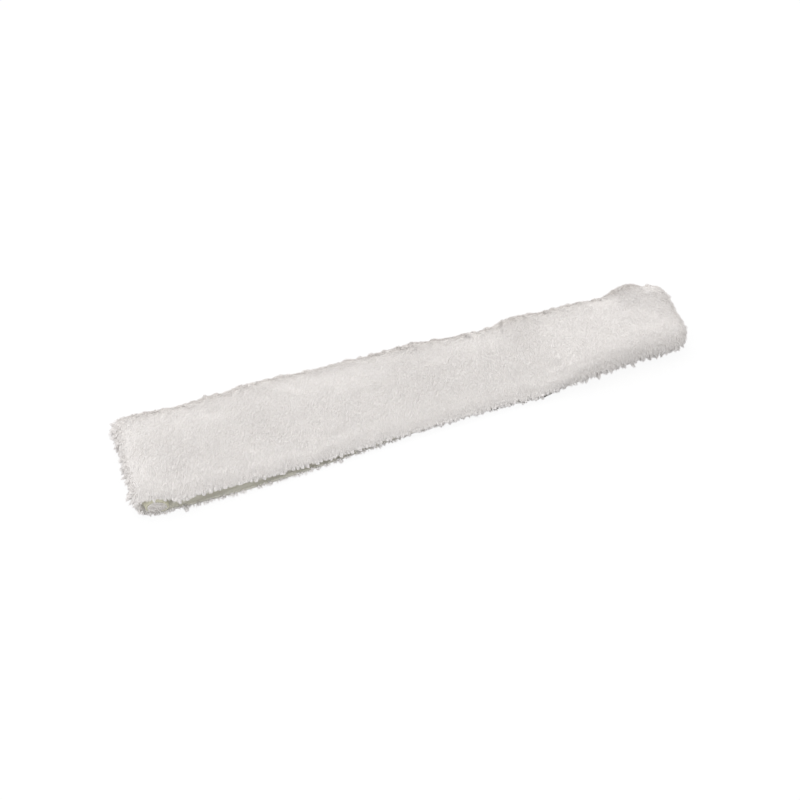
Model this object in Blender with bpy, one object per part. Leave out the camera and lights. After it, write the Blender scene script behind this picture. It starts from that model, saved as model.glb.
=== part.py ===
"""A window washer sleeve: the fleece cover that is drawn over a window washer's T-bar.

One strip of long-pile fleece is folded lengthwise, pile outwards. Both ends and a part of the front
edge are sewn shut and turned, so their seam allowances lie inside. The rest of the front edge is a
slit with two overlocked lips, which a hook and loop tape closes beside the left end.

+X runs along the sleeve, the slit opens towards -Y, the fold is at +Y, +Z is up and the origin lies
on the resting plane under the middle of the sleeve. Lengths are in metres.
"""

import math
from collections import namedtuple

import bmesh
import bpy
from mathutils import Vector

# Driving sizes of the fleece, whose pile is pressed lower where the sleeve lies on it
SLEEVE_LENGTH = 0.456
SLEEVE_WIDTH = 0.085
PILE_HEIGHT = 0.008
RESTING_PILE_HEIGHT = 0.005
CLOTH_THICKNESS = 0.0012
POCKET_HEIGHT = 0.014
SEAT_GAP = 0.0003

# Sizes of the slit and its lips
SLIT_GAPE = 0.0125
LIP_SLOPE_WIDTH = 0.020
LIP_PILE_HEIGHT = 0.0032
LIP_PILE_LEAN = 0.0025
LIP_LEAD = 0.004
SEAM_SLIT = 0.0003

# Sizes of the corners and of the seam allowances, which are turned in and pressed to a roll
BACK_CORNER_INSET = 0.008
LEFT_FRONT_CORNER_INSET = 0.003
RIGHT_FRONT_CORNER_INSET = 0.010
ALLOWANCE_WIDTH = 0.017
ALLOWANCE_REACH = 0.0045
ALLOWANCE_ROUNDING = 0.0015

# Sizes of the closing tapes
TAPE_START = 0.045
TAPE_LENGTH = 0.040
TAPE_WIDTH = 0.016
TAPE_THICKNESS = 0.001
STITCH_INSET = 0.002

# Sizes of the threads
STITCH_RADIUS = 0.0002
BAR_TACK_LENGTH = 0.008
BAR_TACK_DEPTH = 0.0012

# Widest spacing of the fleece's mesh along and across the sleeve, and the steps round its edges
COLUMN_STEP = 0.026
ROW_STEP = 0.0125
NOSE_BEARINGS = (0, 30, 60)
ROLL_SIDES = 14
ROLL_END_SHARE = 0.8
THREAD_RESOLUTION = 1

# Where the slit ends and where the front is fully closed, as shares of the length
SLIT_END_SHARE = 0.74
CLOSED_START_SHARE = 0.80

# Form of the sleeve along its length, as it lies: one share of the named size at each station
STATION_SHARES = (0.0, 0.06, 0.16, 0.28, 0.42, 0.56, 0.70, 0.80, 0.90, 1.0)
HEIGHT_SHARES = (0.91, 0.79, 0.68, 0.61, 0.61, 0.61, 0.71, 0.89, 1.0, 0.96)
GAPE_SHARES = (1.0, 0.68, 0.44, 0.26, 0.12, 0.08, 0.11, 0.11, 0.11, 0.11)
LEAD_SHARES = (0.3, 0.8, 1.0, 0.9, 0.3, 0.0, 0.1, 0.0, 0.0, 0.0)
FRONT_SHARES = (0.95, 0.976, 1.0, 0.956, 0.824, 0.749, 0.761, 0.908, 0.805, 0.792)
BACK_SHARES = (0.985, 0.924, 0.939, 1.0, 0.955, 0.861, 0.809, 0.818, 0.806, 0.836)

# Linear colours with roughness
COLOURS = {
    "white_pile": ((0.78, 0.76, 0.74), 0.95),
    "ecru_knit": ((0.62, 0.60, 0.50), 0.9),
    "white_tape": ((0.70, 0.69, 0.66), 0.8),
    "white_thread": ((0.75, 0.74, 0.70), 0.7),
}

BARE = CLOTH_THICKNESS + SEAT_GAP
SKIN = BARE + PILE_HEIGHT
FLOOR = BARE + RESTING_PILE_HEIGHT
OVERLOCK_RADIUS = CLOTH_THICKNESS / 2
INNER_HALF_LENGTH = SLEEVE_LENGTH / 2 - SKIN

Section = namedtuple("Section", "half middle gape lead open_front sewn_front back closed")
Column = namedtuple("Column", "run end bearing")
Row = namedtuple("Row", "level edge bearing run rest_share")
RollStation = namedtuple("RollStation", "centre across rise")


def ease(value):
    """Smooth step from 0 to 1."""
    value = min(max(value, 0), 1)
    return value * value * (3 - 2 * value)


def shaped(shares, share):
    """Smooth value, at a share of the length, of a table with one value at each station."""
    last = len(STATION_SHARES) - 1
    index = sum(1 for station in STATION_SHARES[1:last] if station <= share)
    before = max(index - 1, 0)
    after = min(index + 2, last)
    span = STATION_SHARES[index + 1] - STATION_SHARES[index]
    part = (share - STATION_SHARES[index]) / span
    slope_in = (shares[index + 1] - shares[before]) / (STATION_SHARES[index + 1] - STATION_SHARES[before])
    slope_out = (shares[after] - shares[index]) / (STATION_SHARES[after] - STATION_SHARES[index])
    across = shares[index] + ease(part) * (shares[index + 1] - shares[index])
    bend = slope_in * (1 - part) - slope_out * part
    return across + span * part * (1 - part) * bend


def section_at(share):
    """Inner form of the sleeve's cross-section at a share of its length."""
    half = POCKET_HEIGHT * shaped(HEIGHT_SHARES, share) / 2
    front = shaped(FRONT_SHARES, share)
    return Section(
        half=half,
        middle=FLOOR + half,
        gape=SLIT_GAPE * shaped(GAPE_SHARES, share),
        lead=LIP_LEAD * shaped(LEAD_SHARES, share),
        open_front=-(SLEEVE_WIDTH / 2 - LIP_PILE_LEAN) * front,
        sewn_front=-(SLEEVE_WIDTH / 2 - SKIN) * front,
        back=(SLEEVE_WIDTH / 2 - SKIN) * shaped(BACK_SHARES, share),
        closed=ease((share - SLIT_END_SHARE) / (CLOSED_START_SHARE - SLIT_END_SHARE)),
    )


LEFT_CENTRE = section_at(0).half - INNER_HALF_LENGTH
RIGHT_CENTRE = INNER_HALF_LENGTH - section_at(1).half
FLAT_LENGTH = RIGHT_CENTRE - LEFT_CENTRE
SLIT_END = SLIT_END_SHARE * FLAT_LENGTH


def pressed(lift, height):
    """Lift off the inner face where the pile stands only to the given height."""
    return min(lift, BARE) + max(lift - BARE, 0) * height / PILE_HEIGHT


def flat_distance(section, row, front):
    """Distance of a flat row behind the centre of the front edge's curve."""
    whole = section.back - front - 2 * section.half
    return row.run + row.rest_share * (whole - TAPE_WIDTH)


def sewn_point(section, row, lift):
    """Place across a section whose front edge is sewn shut: y and z, lifted off the inner face."""
    bearing = math.radians(row.bearing) if row.edge else math.pi / 2
    standing = PILE_HEIGHT
    if row.level < 0:
        standing -= (PILE_HEIGHT - RESTING_PILE_HEIGHT) * math.sin(bearing)
    reach = section.half + pressed(lift, standing)
    rise = max(reach * math.sin(bearing), SEAM_SLIT / 2)
    centre = section.back - section.half
    if row.edge <= 0:
        centre = section.sewn_front + section.half
    y = centre + row.edge * reach * math.cos(bearing)
    if row.edge == 0:
        y += flat_distance(section, row, section.sewn_front)
    return y, section.middle + row.level * rise


def opening_at(section, behind_lip):
    """Height between the cloths at a distance behind the upper lip's edge."""
    return section.gape + ease(behind_lip / LIP_SLOPE_WIDTH) * (2 * section.half - section.gape)


def open_point(section, row, lift):
    """Place across a section whose two lips lie loose: y and z, lifted off the inner face."""
    if row.edge > 0:
        return sewn_point(section, row, lift)
    towards_lip = math.cos(math.radians(row.bearing)) if row.edge else 0
    behind_lip = section.half * (1 - towards_lip)
    if row.edge == 0:
        behind_lip = section.half + flat_distance(section, row, section.open_front)
    y = section.open_front + behind_lip - towards_lip * LIP_PILE_LEAN * lift / SKIN
    if row.level < 0:
        return y, FLOOR - pressed(lift, RESTING_PILE_HEIGHT)
    standing = PILE_HEIGHT - towards_lip * (PILE_HEIGHT - LIP_PILE_HEIGHT)
    y += section.lead * (1 - ease(behind_lip / LIP_SLOPE_WIDTH))
    return y, FLOOR + opening_at(section, behind_lip) + pressed(lift, standing)


def cloth_point(column, row, lift):
    """Place of a mesh point of the fleece, lifted off the cloth's inner face."""
    section = section_at(column.run / FLAT_LENGTH)
    sewn_y, sewn_z = sewn_point(section, row, lift)
    open_y, open_z = open_point(section, row, lift)
    y = open_y + section.closed * (sewn_y - open_y)
    z = open_z + section.closed * (sewn_z - open_z)
    x = LEFT_CENTRE + column.run
    if column.end == 0:
        return Vector((x, y, z))
    bearing = math.radians(column.bearing)
    x += column.end * (section.half + lift) * math.cos(bearing)
    front = section.open_front + section.closed * (section.sewn_front - section.open_front)
    middle_y = (front + section.back) / 2
    inset = LEFT_FRONT_CORNER_INSET if column.end < 0 else RIGHT_FRONT_CORNER_INSET
    if y > middle_y:
        inset = BACK_CORNER_INSET
    y -= (y - middle_y) * inset / (section.back - middle_y) * (1 - math.sin(bearing))
    rise = max(abs(z - section.middle) * math.sin(bearing), SEAM_SLIT / 2)
    return Vector((x, y, section.middle + row.level * rise))


def evenly(marks, widest):
    """Values from mark to mark, with equal steps no wider than the widest between two marks."""
    values = [marks[0]]
    for start, end in zip(marks, marks[1:]):
        count = math.ceil(round((end - start) / widest, 6))
        values += [start + (end - start) * step / count for step in range(1, count + 1)]
    return values


def fleece_columns():
    """Mesh columns from the left end to the right end."""
    closed_start = CLOSED_START_SHARE * FLAT_LENGTH
    marks = (0, TAPE_START, TAPE_START + TAPE_LENGTH, SLIT_END, closed_start, FLAT_LENGTH)
    left = [Column(0, -1, bearing) for bearing in NOSE_BEARINGS]
    flat = [Column(run, 0, 0) for run in evenly(marks, COLUMN_STEP)]
    right = [Column(FLAT_LENGTH, 1, bearing) for bearing in reversed(NOSE_BEARINGS)]
    return left + flat + right


def half_rows(level):
    """Mesh rows of the fleece's lower or upper half, from its front edge back to the fold."""
    rest_count = math.ceil((SLEEVE_WIDTH - 2 * SKIN - TAPE_WIDTH) / ROW_STEP)
    front = [Row(level, -1, bearing, 0, 0) for bearing in NOSE_BEARINGS]
    under_tape = [Row(level, 0, 0, run, 0) for run in evenly((0, TAPE_WIDTH), ROW_STEP)]
    rest = [Row(level, 0, 0, TAPE_WIDTH, step / rest_count) for step in range(1, rest_count + 1)]
    fold = [Row(level, 1, bearing, 0, 0) for bearing in reversed(NOSE_BEARINGS)]
    return front + under_tape + rest + fold


# The strip's rows run from the lower lip back to the fold and forward again to the upper lip
COLUMNS = fleece_columns()
LOWER_ROWS = half_rows(-1)
UPPER_ROWS = half_rows(1)[::-1]


def new_material(name):
    """Principled material with its colour and roughness."""
    colour, roughness = COLOURS[name]
    material = bpy.data.materials.new(name)
    material.use_nodes = True
    shader = material.node_tree.nodes["Principled BSDF"]
    shader.inputs["Base Color"].default_value = (*colour, 1)
    shader.inputs["Roughness"].default_value = roughness
    return material


def add_object(name, data, material, collection):
    """Named object with its material, in its collection."""
    data.materials.append(material)
    piece = bpy.data.objects.new(name, data)
    collection.objects.link(piece)
    return piece


def mesh_piece(name, shape, material, collection):
    """Object from a closed bmesh."""
    bmesh.ops.recalc_face_normals(shape, faces=shape.faces)
    mesh = bpy.data.meshes.new(name)
    shape.to_mesh(mesh)
    shape.free()
    mesh.shade_smooth()
    return add_object(name, mesh, material, collection)


def thread_piece(name, points, radius, material, collection, closed=False):
    """Thread along a line of points, as a round tube."""
    curve = bpy.data.curves.new(name, "CURVE")
    curve.dimensions = "3D"
    curve.bevel_depth = radius
    curve.bevel_resolution = THREAD_RESOLUTION
    curve.use_fill_caps = not closed
    spline = curve.splines.new("POLY")
    spline.points.add(len(points) - 1)
    spline.use_cyclic_u = closed
    for target, point in zip(spline.points, points):
        target.co = (*point, 1)
    return add_object(name, curve, material, collection)


def cloth_layer(name, columns, rows, inner_lift, outer_lift, material, collection):
    """Sheet that follows the fleece between two lifts off the ground cloth's inner face."""
    sheet = bmesh.new()
    column_key = sheet.verts.layers.int.new("column")
    row_key = sheet.verts.layers.int.new("row")
    bmesh.ops.create_grid(sheet, x_segments=len(columns) - 1, y_segments=len(rows) - 1, size=0.5)
    for vert in sheet.verts:
        vert[column_key] = round((vert.co.x + 0.5) * (len(columns) - 1))
        vert[row_key] = round((vert.co.y + 0.5) * (len(rows) - 1))
        vert.co = cloth_point(columns[vert[column_key]], rows[vert[row_key]], inner_lift)
    bmesh.ops.triangulate(sheet, faces=sheet.faces, quad_method="FIXED")
    grown = bmesh.ops.extrude_face_region(sheet, geom=sheet.faces)
    for vert in [piece for piece in grown["geom"] if isinstance(piece, bmesh.types.BMVert)]:
        vert.co = cloth_point(columns[vert[column_key]], rows[vert[row_key]], outer_lift)
    return mesh_piece(name, sheet, material, collection)


def roll(name, stations, material, collection):
    """Pressed roll of seam allowance through its stations, with closed ends."""
    tube = bmesh.new()
    bmesh.ops.create_grid(tube, x_segments=len(stations) - 1, y_segments=ROLL_SIDES, size=0.5)
    for vert in tube.verts:
        station = stations[round((vert.co.x + 0.5) * (len(stations) - 1))]
        side = round((vert.co.y + 0.5) * ROLL_SIDES) % ROLL_SIDES
        angle = 2 * math.pi * side / ROLL_SIDES
        vert.co = station.centre + math.cos(angle) * station.across + math.sin(angle) * station.rise
    bmesh.ops.remove_doubles(tube, verts=tube.verts, dist=SEAT_GAP / ROLL_SIDES)
    bmesh.ops.holes_fill(tube, edges=[edge for edge in tube.edges if edge.is_boundary])
    return mesh_piece(name, tube, material, collection)


def rounded_ends(stations, along):
    """Stations with a narrower one added past each end, so that the roll's ends are rounded."""
    first = stations[0]
    last = stations[-1]
    start = RollStation(first.centre, first.across * ROLL_END_SHARE, first.rise * ROLL_END_SHARE)
    end = RollStation(last.centre, last.across * ROLL_END_SHARE, last.rise * ROLL_END_SHARE)
    shift = along * ALLOWANCE_ROUNDING
    return ([start] + [first._replace(centre=first.centre + shift)] + stations[1:-1]
            + [last._replace(centre=last.centre - shift)] + [end])


def end_roll_stations(end):
    """Stations of the allowance roll at an end, from the front edge back to the fold."""
    middle_share = ALLOWANCE_WIDTH / 2 / FLAT_LENGTH
    section = section_at(middle_share if end < 0 else 1 - middle_share)
    x = end * (INNER_HALF_LENGTH - SEAT_GAP - ALLOWANCE_WIDTH / 2)
    start = section.open_front - ALLOWANCE_REACH
    settled = section.open_front + LIP_SLOPE_WIDTH
    if end > 0:
        start = section.sewn_front + section.half + RIGHT_FRONT_CORNER_INSET / 2
        settled = (start + section.back) / 2
    stations = []
    for y in (start, settled, section.back - section.half - BACK_CORNER_INSET / 2):
        opening = 2 * section.half if end > 0 else opening_at(section, y - section.open_front)
        rise = opening / 2 - SEAT_GAP
        centre = Vector((x, y, FLOOR + SEAT_GAP + rise))
        stations.append(RollStation(centre, Vector((ALLOWANCE_WIDTH / 2, 0, 0)), Vector((0, 0, rise))))
    return stations


def end_allowance(name, end, materials, collection):
    """Seam allowance turned in along an end."""
    stations = rounded_ends(end_roll_stations(end), Vector((0, 1, 0)))
    return roll(name, stations, materials["ecru_knit"], collection)


def end_overlock(name, end, materials, collection):
    """Overlock thread over the raw edge of an end's seam allowance."""
    stations = end_roll_stations(end)
    beside = Vector((-end * (ALLOWANCE_WIDTH / 2 + SEAT_GAP + OVERLOCK_RADIUS), 0, 0))
    points = [station.centre + beside for station in stations]
    points[0].y += ALLOWANCE_ROUNDING
    points[-1].y -= ALLOWANCE_ROUNDING
    return thread_piece(name, points, OVERLOCK_RADIUS, materials["white_thread"], collection)


def front_allowance_line():
    """Centre line of the seam allowance along the closed part of the front edge."""
    stop = INNER_HALF_LENGTH - ALLOWANCE_WIDTH - 3 * SEAT_GAP - 2 * OVERLOCK_RADIUS - LEFT_CENTRE
    start = CLOSED_START_SHARE * FLAT_LENGTH
    runs = [column.run for column in COLUMNS if column.end == 0 and start <= column.run < stop] + [stop]
    return [(run, section_at(run / FLAT_LENGTH)) for run in runs]


def front_allowance(name, materials, collection):
    """Seam allowance turned in along the closed part of the front edge."""
    stations = []
    for run, section in front_allowance_line():
        half_rise = section.half - SEAT_GAP
        y = section.sewn_front + SEAT_GAP + ALLOWANCE_WIDTH / 2
        centre = Vector((LEFT_CENTRE + run, y, section.middle))
        across = Vector((0, ALLOWANCE_WIDTH / 2, 0))
        stations.append(RollStation(centre, across, Vector((0, 0, half_rise))))
    return roll(name, rounded_ends(stations, Vector((1, 0, 0))), materials["ecru_knit"], collection)


def front_overlock(name, materials, collection):
    """Overlock thread over the raw edge of the front seam allowance."""
    points = []
    for run, section in front_allowance_line():
        y = section.sewn_front + 2 * SEAT_GAP + ALLOWANCE_WIDTH + OVERLOCK_RADIUS
        points.append(Vector((LEFT_CENTRE + run, y, section.middle)))
    return thread_piece(name, points, OVERLOCK_RADIUS, materials["white_thread"], collection)


def lip_line(level):
    """Edge of a lip's ground cloth from the left end to the bar tack, at half its thickness."""
    edge_row = LOWER_ROWS[0] if level < 0 else UPPER_ROWS[-1]
    stop = SLIT_END - BAR_TACK_LENGTH - SEAT_GAP
    line = [column for column in COLUMNS if column.end == 0 and column.run <= SLIT_END]
    points = [cloth_point(column, edge_row, CLOTH_THICKNESS / 2) for column in line]
    part = (stop - line[-2].run) / (line[-1].run - line[-2].run)
    return points[:-1] + [points[-2].lerp(points[-1], part)]


def lip_overlock(name, level, materials, collection):
    """Overlock thread over the cut edge of a lip."""
    forward = Vector((0, -(SEAT_GAP + OVERLOCK_RADIUS), 0))
    points = [point + forward for point in lip_line(level)]
    return thread_piece(name, points, OVERLOCK_RADIUS, materials["white_thread"], collection)


def tape_grid(level):
    """Columns and rows of the fleece that a lip's tape covers."""
    columns = [column for column in COLUMNS
               if column.end == 0 and TAPE_START <= column.run <= TAPE_START + TAPE_LENGTH]
    half_of_strip = LOWER_ROWS if level < 0 else UPPER_ROWS
    rows = [row for row in half_of_strip if row.edge == 0 and row.rest_share == 0]
    return columns, rows


def closing_tape(name, level, materials, collection):
    """Closing tape sewn to the inner face of a lip."""
    columns, rows = tape_grid(level)
    inner = -(SEAT_GAP + TAPE_THICKNESS)
    return cloth_layer(name, columns, rows, inner, -SEAT_GAP, materials["white_tape"], collection)


def stitch_line(columns, row, other_row):
    """Line of stitches over a tape's inner face, moved in from one edge towards the other."""
    lift = -(2 * SEAT_GAP + TAPE_THICKNESS + STITCH_RADIUS)
    inset_share = STITCH_INSET / TAPE_WIDTH
    points = []
    for column in columns:
        edge_point = cloth_point(column, row, lift)
        points.append(edge_point.lerp(cloth_point(column, other_row, lift), inset_share))
    points[0].x += STITCH_INSET
    points[-1].x -= STITCH_INSET
    return points


def tape_stitching(name, level, materials, collection):
    """Sewing thread in a closed line round a tape, on its inner face."""
    columns, rows = tape_grid(level)
    points = stitch_line(columns, rows[0], rows[-1]) + stitch_line(columns, rows[-1], rows[0])[::-1]
    return thread_piece(name, points, STITCH_RADIUS, materials["white_thread"], collection, closed=True)


def slit_end_bar_tack(name, materials, collection):
    """Dense block of stitches that holds the lips together at the slit's right end."""
    section = section_at(SLIT_END_SHARE)
    height = section.gape + 2 * CLOTH_THICKNESS
    before = section_at((SLIT_END - BAR_TACK_LENGTH) / FLAT_LENGTH)
    lip = min(section.open_front, before.open_front)
    x = LEFT_CENTRE + SLIT_END - BAR_TACK_LENGTH / 2
    centre = Vector((x, lip - SEAT_GAP - BAR_TACK_DEPTH / 2, FLOOR + section.gape / 2))
    block = bmesh.new()
    bmesh.ops.create_cube(block, size=1)
    bmesh.ops.scale(block, vec=(BAR_TACK_LENGTH, BAR_TACK_DEPTH, height), verts=block.verts)
    bmesh.ops.translate(block, vec=centre, verts=block.verts)
    return mesh_piece(name, block, materials["white_thread"], collection)


def clear_scene():
    """Remove the objects of the open scene."""
    for piece in list(bpy.data.objects):
        bpy.data.objects.remove(piece, do_unlink=True)


def main():
    clear_scene()
    sleeve = bpy.data.collections.new("window_washer_sleeve")
    bpy.context.scene.collection.children.link(sleeve)
    materials = {name: new_material(name) for name in COLOURS}
    strip_rows = LOWER_ROWS + UPPER_ROWS
    cloth_layer("ground_cloth", COLUMNS, strip_rows, 0, CLOTH_THICKNESS, materials["ecru_knit"], sleeve)
    for name, rows in (("lower_pile", LOWER_ROWS), ("upper_pile", UPPER_ROWS)):
        cloth_layer(name, COLUMNS, rows, BARE, SKIN, materials["white_pile"], sleeve)
    for side, end in (("left", -1), ("right", 1)):
        end_allowance(f"{side}_seam_allowance", end, materials, sleeve)
        end_overlock(f"{side}_seam_overlock", end, materials, sleeve)
    front_allowance("front_seam_allowance", materials, sleeve)
    front_overlock("front_seam_overlock", materials, sleeve)
    for side, tape, level in (("lower", "hook", -1), ("upper", "loop", 1)):
        lip_overlock(f"{side}_lip_overlock", level, materials, sleeve)
        closing_tape(f"{tape}_tape", level, materials, sleeve)
        tape_stitching(f"{tape}_tape_stitching", level, materials, sleeve)
    slit_end_bar_tack("slit_end_bar_tack", materials, sleeve)


if __name__ == "__main__":
    main()
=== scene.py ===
"""The looks of a window washer sleeve: white long-pile fleece on an ecru knit, on a white table.

Locks of strands stand on a dense felt of their own roots, lean the way that the pile was brushed
and draw together in clumps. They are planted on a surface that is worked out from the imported
model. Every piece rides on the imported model's one body. Lengths are in metres.
"""

import math
from functools import partial

import bmesh
import bpy
from bpy.props import FloatProperty, FloatVectorProperty, IntProperty, PointerProperty
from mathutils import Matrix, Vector, noise
from mathutils.bvhtree import BVHTree
from mathutils.kdtree import KDTree


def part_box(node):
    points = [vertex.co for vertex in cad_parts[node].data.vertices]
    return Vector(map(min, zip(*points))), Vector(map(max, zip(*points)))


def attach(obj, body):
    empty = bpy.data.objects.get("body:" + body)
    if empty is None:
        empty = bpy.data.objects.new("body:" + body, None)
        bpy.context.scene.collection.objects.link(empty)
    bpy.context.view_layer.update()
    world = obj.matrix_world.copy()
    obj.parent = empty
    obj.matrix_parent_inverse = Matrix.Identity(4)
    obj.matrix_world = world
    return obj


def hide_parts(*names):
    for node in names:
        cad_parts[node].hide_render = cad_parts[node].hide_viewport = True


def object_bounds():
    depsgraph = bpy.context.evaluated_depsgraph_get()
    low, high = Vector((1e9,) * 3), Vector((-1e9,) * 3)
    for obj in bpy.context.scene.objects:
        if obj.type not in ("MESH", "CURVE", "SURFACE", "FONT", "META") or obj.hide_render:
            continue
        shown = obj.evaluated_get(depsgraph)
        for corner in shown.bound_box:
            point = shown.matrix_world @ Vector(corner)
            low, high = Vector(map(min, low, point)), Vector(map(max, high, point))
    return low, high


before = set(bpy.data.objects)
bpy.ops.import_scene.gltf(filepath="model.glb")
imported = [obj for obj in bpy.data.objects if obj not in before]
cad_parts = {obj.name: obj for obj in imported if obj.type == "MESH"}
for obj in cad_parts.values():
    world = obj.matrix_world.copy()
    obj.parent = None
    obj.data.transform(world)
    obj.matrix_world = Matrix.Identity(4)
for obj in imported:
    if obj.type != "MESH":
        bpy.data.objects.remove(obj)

bl_info = {
    "name": "Window Washer Sleeve",
    "version": (1, 0, 0),
    "blender": (4, 5, 0),
    "location": "3D View > Sidebar > Sleeve",
    "description": "Dresses the packed model of a window washer sleeve in fleece, tape and thread",
    "category": "Add Mesh",
}

CAD_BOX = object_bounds()
LOW, HIGH = CAD_BOX
ROOT = "root"
PILE_NODES = ("lower_pile", "upper_pile")
MILLIMETRE = 0.001

# Distances for welding: of loose triangles, and of the pile's two halves along their seams
WELD, SEAM_WELD = 0.00001, 0.0006

# An edge that is bent more than this is a cut edge of cloth or tape
SHARP = math.radians(50)


def linear(code):
    """Linear colour of an sRGB hex value."""
    values = [int(code[start:start + 2], 16) / 255 for start in (0, 2, 4)]
    return tuple(v / 12.92 if v <= 0.04045 else ((v + 0.055) / 1.055) ** 2.4 for v in values)


def size(name, description, default):
    """Property that holds a length."""
    return FloatProperty(name=name, description=description, default=default, unit="LENGTH",
                         precision=5)


def share(name, description, default):
    """Property that holds a share."""
    return FloatProperty(name=name, description=description, default=default, subtype="FACTOR")


def angle(name, description, degrees):
    """Property that holds an angle."""
    return FloatProperty(name=name, description=description, default=math.radians(degrees),
                         subtype="ANGLE")


def colour(name, description, code):
    """Property that holds a colour."""
    return FloatVectorProperty(name=name, description=description, default=linear(code),
                               subtype="COLOR")


class PileSettings(bpy.types.PropertyGroup):
    """Sizes and colours of the fleece's pile."""

    felt_share: share("Felt height", "Share of the pile that is one dense mass of roots", 0.94)
    loose_felt: share("Loose felt", "How much lower the felt is where the pile is loose", 0.30)
    rim_width: size("Rim width", "Width of the lips' rims, over which the felt thins", 0.007)
    lock_spacing: size("Lock spacing", "Least distance between two locks of strands", 0.00105)
    clump_spacing: size("Clump spacing", "Least distance between two clumps", 0.0034)
    strand_width: size("Strand width", "Width of a strand at its root", 0.00042)
    lock_width: size("Lock width", "Width of a lock, whose strands lie side by side", 0.0016)
    lock_length: size("Lock length", "How far a brushed lock reaches along the surface", 0.0044)
    clumping: share("Clumping", "How far the locks' tips draw together", 0.5)
    rooting: share("Rooting", "How far the locks' roots draw together", 0.45)
    tooth_spacing: size("Tooth spacing", "Distance between the tufts over a lip", 0.0042)
    tooth_width: size("Tooth width", "Width of the tufts that hang over a lip", 0.0030)
    tooth_length: size("Tooth length", "Length of the tufts that hang over a lip", 0.0027)
    bare_corner: size("Bare corner", "Length of the upper lip without tufts, at the gap", 0.018)
    parts: IntProperty(name="Parts", description="Pieces that the pile is made in", default=8)
    colour: colour("Pile", "Bleached acrylic yarn", "F9F6F5")
    # Painted shade: the felt is the pile's own yarn, made darker for the shade deep among the
    # strands
    felt_painted_shade: colour("Felt", "The same yarn seen as one mass", "EAE7E4")
    # Painted shade: the same yarn made darker towards the strands' roots, for the shade deep in the
    # pile
    root_painted_shade: colour("Pile roots", "Yarn deep in the pile", "F3F0ED")


class ClothSettings(bpy.types.PropertyGroup):
    """Sizes and colours of the knitted ground cloth, its tapes and its threads."""

    wale_spacing: size("Wale spacing", "Width of the knit's stitches", 0.0011)
    thickness: size("Cloth thickness", "Thickness of the knitted cloth", 0.0012)
    core_depth: size("Core depth", "How far the pile lies back in a rolled end", 0.0002)
    set_back: size("Set back", "How far a rolled end lies back from the lips", 0.0008)
    edge_thread: size("Edge thread", "Thickness of the overlock thread", 0.0004)
    edge_pitch: size("Edge pitch", "Distance between two overlock stitches", 0.0022)
    edge_bite: size("Edge bite", "How far the overlock stitches reach over the cloth", 0.0026)
    stitch_length: size("Stitch length", "Distance between two sewing stitches", 0.0028)
    stitch_thread: size("Stitch thread", "Thickness of the sewing thread", 0.0004)
    tack_pitch: size("Tack pitch", "Distance between two stitches of the bar tack", 0.00055)
    hook_spacing: size("Hook spacing", "Least distance between two hooks or loops", 0.0012)
    hook_height: size("Hook height", "Height of the tape's hooks and loops", 0.0009)
    hook_thickness: size("Hook thickness", "Thickness of the tape's hooks and loops", 0.00022)
    # Painted light: the knit's colour is set lighter than the cloth's own, to brighten its shaded
    # inner face in the mouth between the lips
    knit_colour: colour("Knit", "Unbleached polyester and cotton", "F4F1DD")
    # Painted shade: the rolled knit is the same cloth, made darker for the shade where the roll
    # lies under the lips
    rolled_painted_shade: colour("Rolled knit", "The same yarn, denser where it is rolled", "D8D5BF")
    thread_colour: colour("Thread", "Bleached polyester", "E9E7DE")
    tape_colour: colour("Tape", "White nylon", "E4E3DF")


class StageSettings(bpy.types.PropertyGroup):
    """Table, light and camera."""

    table_width: size("Table width", "Width of the table", 6.0)
    table_colour: colour("Table", "White paper", "D0D0D0")
    daylight: share("Daylight", "Strength of the light from all round", 0.84)
    camera_distance: size("Camera distance", "From the camera to the point that it looks at", 0.861)
    camera_height: size("Aim height", "Height of the point that the camera looks at", 0.013)
    elevation: angle("Elevation", "Camera's angle above the horizon", 48)
    heading: angle("Heading", "Camera's turn to the left of straight on", 20.2)


def set_inputs(tree, node, inputs):
    """Link a node's inputs to sockets or to other nodes' first outputs, or set them to values."""
    for key, value in inputs.items() if isinstance(inputs, dict) else enumerate(inputs):
        socket = node.inputs[key] if isinstance(key, int) else next(
            item for item in node.inputs if item.enabled and item.name == key)
        if isinstance(value, bpy.types.Node):
            value = next(item for item in value.outputs if item.enabled)
        if isinstance(value, bpy.types.NodeSocket):
            tree.links.new(value, socket)
        else:
            socket.default_value = value


def add_node(tree, kind, inputs=(), **settings):
    """Add a node with its settings and its inputs, which go by name or in order."""
    node = tree.nodes.new(kind)
    for name, value in settings.items():
        setattr(node, name, value)
    set_inputs(tree, node, inputs)
    return node


def made_of(maker):
    """The material that a function describes, made the first time.

    The function gives its colour, the tone that darkens it, its relief, as a height, a depth in
    millimetres and a strength, and the shader's other values.
    """
    material = bpy.data.materials.get(maker.__name__)
    if material is None:
        material = bpy.data.materials.new(maker.__name__)
        material.use_nodes = True
        tree = material.node_tree
        add = partial(add_node, tree)
        base_colour, tone, relief, values = maker(add, bpy.context.scene)
        values["Base Color"] = add("ShaderNodeMix", {"Factor": 1.0, "A": base_colour, "B": tone},
                                   data_type="RGBA", blend_type="MULTIPLY")
        if relief:
            height, depth, strength = relief
            values["Normal"] = add("ShaderNodeBump", {
                "Height": height, "Distance": depth * MILLIMETRE, "Strength": strength})
        set_inputs(tree, tree.nodes["Principled BSDF"], values)
    return material


def ripples(spacing):
    """Scale of a wave texture whose ripples are a spacing apart."""
    return math.tau / 20 / spacing


def crossed(add, spacing, operation, uneven=()):
    """Height of a cloth whose threads lie a spacing apart, both along it and across it."""
    place = add("ShaderNodeTexCoord").outputs["Object"]
    along, across = (
        add("ShaderNodeTexWave", {"Vector": place, "Scale": ripples(spacing), **dict(uneven)},
            bands_direction=way).outputs["Fac"] for way in "XY")
    return add("ShaderNodeMath", (along, across), operation=operation)


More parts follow.
